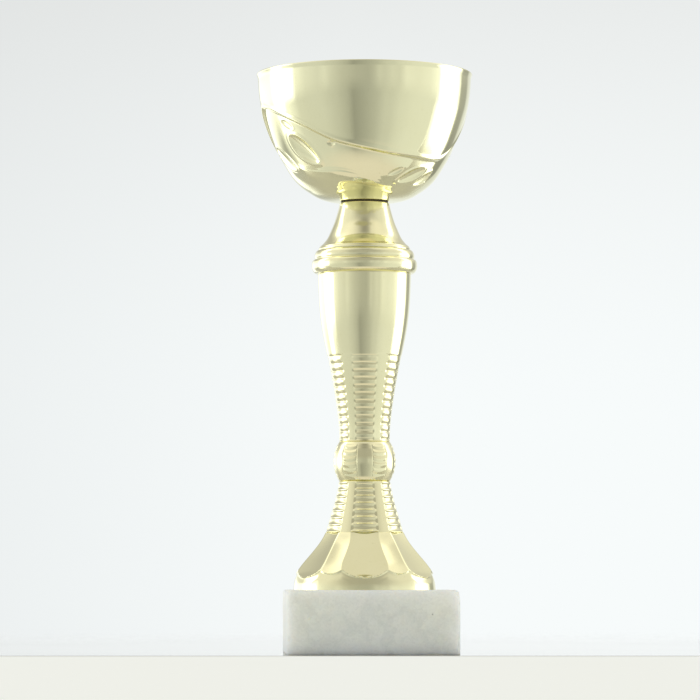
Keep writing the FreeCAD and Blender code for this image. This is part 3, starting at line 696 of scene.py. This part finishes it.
def s_of(height):
    return float(np.interp(height, BOWL_Z_TABLE, BOWL_S_TABLE))


def build_bowl():
    global BOWL_Z_TABLE, BOWL_S_TABLE
    fine_s, _, fine_z, _, _ = bowl_curve(2000)
    BOWL_Z_TABLE, BOWL_S_TABLE = fine_z, fine_s
    low, high, end = s_of(216.0), s_of(259.0), fine_s[-1]
    want_out = np.concatenate([np.linspace(0, low, 12)[:-1], np.linspace(low, high, 146)[:-1], np.linspace(high, end, 14)])
    want_in = np.concatenate([np.linspace(0, low, 4)[:-1], np.linspace(low, high, 36)[:-1], np.linspace(high, end, 6)])
    table = bowl_curve(2000)
    segs = 436
    theta = np.arange(segs) * 360.0 / segs

    def sheet(at, inset):
        r, z, nr, nz = (np.interp(at, table[0], table[k])[:, None] for k in (1, 2, 3, 4))
        t = np.repeat(theta[None], len(at), 0)
        h = emboss(t - TURN, at[:, None], r, z) * smooth(272.4, 270.5, z)
        return r + nr * (h - inset), z + nz * (h - inset)

    outer_r, outer_z = sheet(want_out, 0.0)
    inner_r, inner_z = sheet(want_in, SHEET)
    inner_r[0] = outer_r[0] = 3.3
    # small rolled lip
    lip = []
    for r, z in LIP:
        lip.append((r, z))
    lip = np.array(lip)
    lip_r = np.repeat(lip[:, :1], segs, 1)
    lip_z = np.repeat(lip[:, 1:], segs, 1)
    rows_r = np.concatenate([outer_r, lip_r, inner_r[::-1]])
    rows_z = np.concatenate([outer_z, lip_z, inner_z[::-1]])
    a = np.radians(np.repeat(theta[None], len(rows_r), 0))
    verts = np.stack([rows_r * np.sin(a), -rows_r * np.cos(a), rows_z], -1).reshape(-1, 3) * MM
    obj = finish_mesh("bowl_sheet", verts, grid_faces(len(rows_r), segs), sharp=60, material=BOWL_GOLD)
    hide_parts("bowl")
    return obj


LIP = [(50.86, 272.9), (51.02, 273.5), (51.2, 273.95), (51.32, 274.3), (51.3, 274.58), (51.12, 274.76), (50.82, 274.8), (50.55, 274.72), (50.35, 274.5), (50.2, 274.1), (50.05, 273.4)]
build_bowl()


# ------------------------------------------------------------------ rod, nuts, washers
def build_rod():
    """M6 rod: real thread on the two ends that show, plain where it is buried in the stack."""
    segs = 72
    pitch = 1.0
    theta = np.arange(segs) * 360.0 / segs

    def radius(z):
        phase = (z[:, None] / pitch - theta[None] / 360.0) % 1.0
        v = np.abs(phase - 0.5) * 2
        r = 3.0 - 0.61 * np.clip((v - 0.10) / 0.78, 0, 1)
        lead = np.clip((z - 3.4) / 0.8, 0, 1)[:, None]
        tail = np.clip((223.6 - z) / 0.8, 0, 1)[:, None]
        cap = 2.3 + 0.7 * np.minimum(lead, tail)
        return np.minimum(r, cap)

    zs = np.concatenate([np.arange(3.4, 15.0, 0.083), np.linspace(15.0, 211.0, 40), np.arange(211.1, 223.6, 0.083), [223.6]])
    r = radius(zs)
    plain = ((zs > 14.0) & (zs < 212.0))[:, None]
    r = np.where(plain, 2.68, r)
    a = np.radians(theta)
    v = np.stack([r * np.sin(a), -r * np.cos(a), np.repeat(zs[:, None], segs, 1)], -1)
    n = len(zs)
    verts = v.reshape(-1, 3).tolist() + [[0, 0, 3.4], [0, 0, 223.6]]
    j, i = np.meshgrid(np.arange(n - 1), np.arange(segs), indexing="ij")
    i2 = (i + 1) % segs
    quads = np.stack([j * segs + i, j * segs + i2, (j + 1) * segs + i2, (j + 1) * segs + i], -1).reshape(-1, 4).tolist()
    low, high = n * segs, n * segs + 1
    tris = [[low, (k + 1) % segs, k] for k in range(segs)] + [[high, (n - 1) * segs + k, (n - 1) * segs + (k + 1) % segs] for k in range(segs)]
    mesh = bpy.data.meshes.new("threaded_rod")
    mesh.from_pydata([[c * MM for c in p] for p in verts], [], quads + tris)
    mesh.validate()
    mesh.polygons.foreach_set("use_smooth", np.ones(len(mesh.polygons), bool))
    mesh.set_sharp_from_angle(angle=math.radians(35))
    mesh.materials.append(STEEL)
    obj = bpy.data.objects.new("threaded_rod", mesh)
    bpy.context.scene.collection.objects.link(obj)
    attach(obj, "root")
    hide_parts("tie_rod")


build_rod()


def build_nut(name, cad, low):
    high, flats = low + 5.0, 10.0

    segs = 288
    theta = np.arange(segs) * 360.0 / segs
    local = (theta - 90.0 + 30.0) % 60.0 - 30.0  # corners of the hexagon lie on +X and -X
    hexagon = flats / 2 / np.cos(np.radians(30.0 - np.abs(local)))
    zs = np.concatenate([[low], low + np.linspace(0.02, 1.0, 10), np.linspace(low + 1.2, high - 1.2, 6), high - np.linspace(1.0, 0.02, 10), [high]])
    rows = []
    for z in zs:
        cone = 4.85 + min(z - low, high - z) * math.tan(math.radians(58))
        rows.append((np.minimum(hexagon, cone), np.full(segs, z)))
    # countersunk mouths and the bore between them
    bore = [(3.35, high), (3.02, high - 0.32)]
    for k in range(41):
        z = high - 0.4 - (high - low - 0.8) * k / 40
        bore.append((None, z))
    bore += [(3.02, low + 0.32), (3.35, low)]
    for r, z in bore:
        if r is None:
            rows.append((np.full(segs, 3.02), np.full(segs, z)))
        else:
            rows.append((np.full(segs, r), np.full(segs, z)))
    r = np.array([x[0] for x in rows])
    z = np.array([x[1] for x in rows])
    a = np.radians(np.repeat(theta[None], len(rows), 0))
    verts = np.stack([r * np.sin(a), -r * np.cos(a), z], -1).reshape(-1, 3) * MM
    obj = finish_mesh(name, verts, grid_faces(len(rows), segs), sharp=28, material=STEEL)
    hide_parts(cad)


build_nut("hex_nut_bowl", "bowl_nut", 216.3)
build_nut("hex_nut_base", "base_nut", 6.4)


def build_washer(name, cad, low, outer):
    profile = rounded([(3.2, low), (outer, low), (outer, low + 1.6), (3.2, low + 1.6)], 0.22, 4)
    obj = lathe(name, profile, 160, sharp=45, material=STEEL)
    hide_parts(cad)


build_washer("flat_washer_bowl", "bowl_washer", 214.7, 6.0)
build_washer("flat_washer_base", "base_washer", 11.4, 9.0)


# ------------------------------------------------------------------ table
def build_table():
    """A pale table top whose front edge lies just ahead of the block. Far away it fades into the backdrop."""
    material = bpy.data.materials.new("pale_table")
    material.use_nodes = True
    tree = material.node_tree
    tree.nodes.clear()
    out = tree.nodes.new("ShaderNodeOutputMaterial")
    shader = tree.nodes.new("ShaderNodeBsdfPrincipled")
    clear = tree.nodes.new("ShaderNodeBsdfTransparent")
    at = object_coords(tree)
    cloud = node(tree, "ShaderNodeTexNoise", {"Vector": at, "Scale": 6.0, "Detail": 5.0})
    tint = ramp(tree, cloud.outputs["Fac"], [(0.3, (0.60, 0.60, 0.585)), (0.7, (0.64, 0.64, 0.625))])
    xyz = node(tree, "ShaderNodeSeparateXYZ", {0: at})
    down = node(tree, "ShaderNodeMapRange", {0: xyz.outputs[2], 1: -0.0004, 2: -0.00005, 3: 1.0, 4: 0.0})
    # painted light: below the top, the front face takes a paler base colour, standing in for the light falling on that
    # side
    front = node(tree, "ShaderNodeMix", {"Factor": down.outputs[0]}, data_type="RGBA")
    tree.links.new(tint.outputs[0], front.inputs[6])
    front.inputs[7].default_value = (0.90, 0.90, 0.86, 1)
    tree.links.new(front.outputs[2], shader.inputs["Base Color"])
    rough = ramp(tree, cloud.outputs["Fac"], [(0.3, grey(0.06)), (0.7, grey(0.04))])
    tree.links.new(rough.outputs[0], shader.inputs["Roughness"])
    # painted light: the front face gets a weak glow, standing in for the extra light falling on it
    painted_front_glow = node(tree, "ShaderNodeMix", {"Factor": down.outputs[0]}, data_type="RGBA")
    painted_front_glow.inputs[6].default_value = (0, 0, 0, 1)
    painted_front_glow.inputs[7].default_value = (0.26, 0.26, 0.235, 1)
    tree.links.new(painted_front_glow.outputs[2], shader.inputs["Emission Color"])
    shader.inputs["Emission Strength"].default_value = 1.0
    flat = node(tree, "ShaderNodeVectorMath", {0: at, 1: (1.0, 1.0, 0.0)}, operation="MULTIPLY")
    away = node(tree, "ShaderNodeVectorMath", {0: flat.outputs[0]}, operation="LENGTH")
    fade = node(tree, "ShaderNodeMapRange", {0: away.outputs["Value"], 1: 0.26, 2: 0.75, 3: 0.0, 4: 1.0}, interpolation_type="SMOOTHSTEP")
    mix = tree.nodes.new("ShaderNodeMixShader")
    tree.links.new(fade.outputs[0], mix.inputs[0])
    tree.links.new(shader.outputs[0], mix.inputs[1])
    tree.links.new(clear.outputs[0], mix.inputs[2])
    tree.links.new(mix.outputs[0], out.inputs[0])
    front_y, back, wide, deep = -0.0475, 1.3, 1.3, 0.5
    edge = 0.0002
    profile = []
    for k in range(7):
        ang = math.pi / 2 * k / 6
        profile.append((front_y + edge - edge * math.sin(ang), -edge + edge * math.cos(ang)))
    profile = [(back, 0.0)] + profile + [(front_y, -deep)]
    verts, faces = [], []
    for x in (-wide, wide):
        verts += [(x, y, z) for y, z in profile]
    n = len(profile)
    for i in range(n - 1):
        faces.append((i, i + 1, n + i + 1, n + i))
    mesh = bpy.data.meshes.new("table_top")
    mesh.from_pydata(verts, [], faces)
    mesh.materials.append(material)
    obj = bpy.data.objects.new("table_top", mesh)
    bpy.context.scene.collection.objects.link(obj)
    obj.rotation_euler = (0, 0, math.radians(TURN))


build_table()


# ------------------------------------------------------------------ light
def build_world():
    """A studio wrapped round the object: pale backdrop, two tall softboxes behind and to the sides, dimmer room in front."""
    world = bpy.data.worlds.new("studio")
    bpy.context.scene.world = world
    world.use_nodes = True
    tree = world.node_tree
    tree.nodes.clear()
    out = tree.nodes.new("ShaderNodeOutputWorld")
    back = tree.nodes.new("ShaderNodeBackground")
    tree.links.new(back.outputs[0], out.inputs[0])
    direction = node(tree, "ShaderNodeTexCoord").outputs["Generated"]
    turned = node(tree, "ShaderNodeMapping", {"Vector": direction, "Rotation": (0.0, 0.0, math.radians(-TURN))}, vector_type="POINT")
    xyz = node(tree, "ShaderNodeSeparateXYZ", {0: turned.outputs[0]})
    # azimuth from -Y towards +X, -1..1, then 0..1
    minus_y = node(tree, "ShaderNodeMath", {0: xyz.outputs[1], 1: -1.0}, operation="MULTIPLY")
    azimuth = node(tree, "ShaderNodeMath", {0: xyz.outputs[0], 1: minus_y.outputs[0]}, operation="ARCTAN2")
    azimuth = node(tree, "ShaderNodeMapRange", {0: azimuth.outputs[0], 1: -math.pi, 2: math.pi, 3: 0.0, 4: 1.0})

    def band(stops, tone):
        return ramp(tree, azimuth.outputs[0], [((a + 180) / 360, tuple(v * c / 2 for c in tone)) for a, v in stops]).outputs[0]

    low = band(LOW_BAND, (0.96, 1.0, 1.0))
    mid = band(MID_BAND, (0.965, 1.0, 1.0))
    high = band(HIGH_BAND, (1.0, 1.0, 0.97))

    def blend(first, second, start, end):
        way = node(tree, "ShaderNodeMapRange", {0: xyz.outputs[2], 1: start, 2: end, 3: 0.0, 4: 1.0}, interpolation_type="SMOOTHSTEP")
        mixed = node(tree, "ShaderNodeMix", {"Factor": way.outputs[0]}, data_type="RGBA")
        tree.links.new(first, mixed.inputs[6])
        if isinstance(second, tuple):
            mixed.inputs[7].default_value = (*[v / 2 for v in second], 1)
        else:
            tree.links.new(second, mixed.inputs[7])
        return mixed.outputs[2]

    upper = band(UPPER_BAND, (1.02, 1.0, 0.95))
    total = blend(mid, low, 0.0, -0.24)
    total = blend(total, (0.80, 0.765, 0.735), -0.62, -0.82)
    total = blend(total, high, 0.04, 0.33)
    total = blend(total, upper, 0.60, 0.74)
    total = blend(total, (0.775, 0.765, 0.735), 0.80, 0.90)
    tree.links.new(total, back.inputs[0])
    back.inputs[1].default_value = 2.0


# radiance round the object at four heights: (azimuth from the camera's side, radiance)
LOW_BAND = [(-180, 0.85), (-173, 0.55), (-167, 0.55), (-162, 1.5), (-154, 1.6), (-149, 0.58), (-130, 0.46), (-123, 0.9), (-117, 2.6), (-107, 2.4), (-100, 1.2), (-82, 0.78), (-70, 0.735), (-50, 0.71), (-31, 0.60), (-20, 0.50), (-13, 0.37), (-4, 0.42), (3, 0.46), (14, 0.54), (24, 0.65), (32, 0.68), (42, 0.77), (58, 0.84), (86, 0.88), (96, 2.6), (128, 2.6), (131, 0.8), (134, 0.34), (147, 0.32), (151, 0.75), (180, 0.90)]
MID_BAND = [(-180, 0.965), (-172, 0.85), (-166, 0.80), (-160, 1.6), (-124, 1.6), (-112, 3.0), (-88, 3.0), (-82, 1.1), (-68, 0.86), (-52, 0.76), (-44, 0.82), (-36, 0.70), (-24, 0.59), (-8, 0.50), (4, 0.48), (10, 0.55), (15, 0.68), (22, 0.66), (30, 0.75), (38, 0.74), (46, 0.92), (60, 0.90), (76, 0.98), (88, 1.2), (93, 2.6), (120, 2.4), (127, 1.2), (131, 0.48), (146, 0.44), (152, 0.80), (168, 0.965), (180, 0.965)]
HIGH_BAND = [(-180, 0.64), (-165, 0.62), (-156, 0.52), (-146, 0.52), (-136, 0.66), (-127, 0.82), (-118, 2.0), (-106, 2.6), (-100, 1.0), (-80, 0.90), (-66, 0.86), (-50, 0.72), (-36, 0.55), (-24, 0.47), (0, 0.44), (24, 0.48), (36, 0.56), (50, 0.70), (66, 0.82), (80, 0.85), (98, 1.0), (104, 2.2), (118, 2.0), (126, 0.95), (140, 0.80), (150, 0.66), (180, 0.64)]
UPPER_BAND = [(-180, 0.62), (-150, 0.66), (-136, 0.74), (-124, 1.2), (-112, 1.5), (-98, 1.3), (-80, 1.1), (-50, 0.92), (-34, 0.74), (-16, 0.46), (-6, 0.34), (6, 0.34), (16, 0.44), (30, 0.80), (50, 0.92), (80, 0.95), (98, 1.05), (108, 1.4), (126, 1.2), (142, 0.9), (180, 0.62)]
build_world()



def build_fill():
    """One large, weak softbox from the front, so that the marble's face is not left to the backdrop alone."""
    data = bpy.data.lights.new("fill", "AREA")
    data.shape = "RECTANGLE"
    data.size, data.size_y = 1.6, 1.2
    data.energy = 1.25
    data.color = (1.0, 0.99, 0.96)
    obj = bpy.data.objects.new("fill", data)
    bpy.context.scene.collection.objects.link(obj)
    turn = math.radians(TURN)
    obj.location = (1.7 * math.sin(turn), -1.7 * math.cos(turn), 0.25)
    obj.rotation_euler = (math.radians(84), 0, turn)
    obj.visible_camera = False
    obj.visible_glossy = False


build_fill()

# ------------------------------------------------------------------ camera
camera_data = bpy.data.cameras.new("camera")
camera_data.lens = 180.0
camera_data.sensor_width = 36.0
camera_data.clip_start = 0.05
camera_data.clip_end = 50.0
camera = bpy.data.objects.new("camera", camera_data)
bpy.context.scene.collection.objects.link(camera)
turn = math.radians(TURN)
side, away = -0.0069, 1.656
camera.location = (side * math.cos(turn) + away * math.sin(turn), side * math.sin(turn) - away * math.cos(turn), 0.0346)
camera.rotation_euler = (math.radians(93.76), 0, turn)
bpy.context.scene.camera = camera

scene = bpy.context.scene
scene.view_settings.view_transform = "Standard"
scene.view_settings.look = "None"
scene.view_settings.exposure = 0.0
scene.view_settings.gamma = 1.0

bpy.context.view_layer.update()


def plain(box):
    return [[float(v) for v in corner] for corner in box]
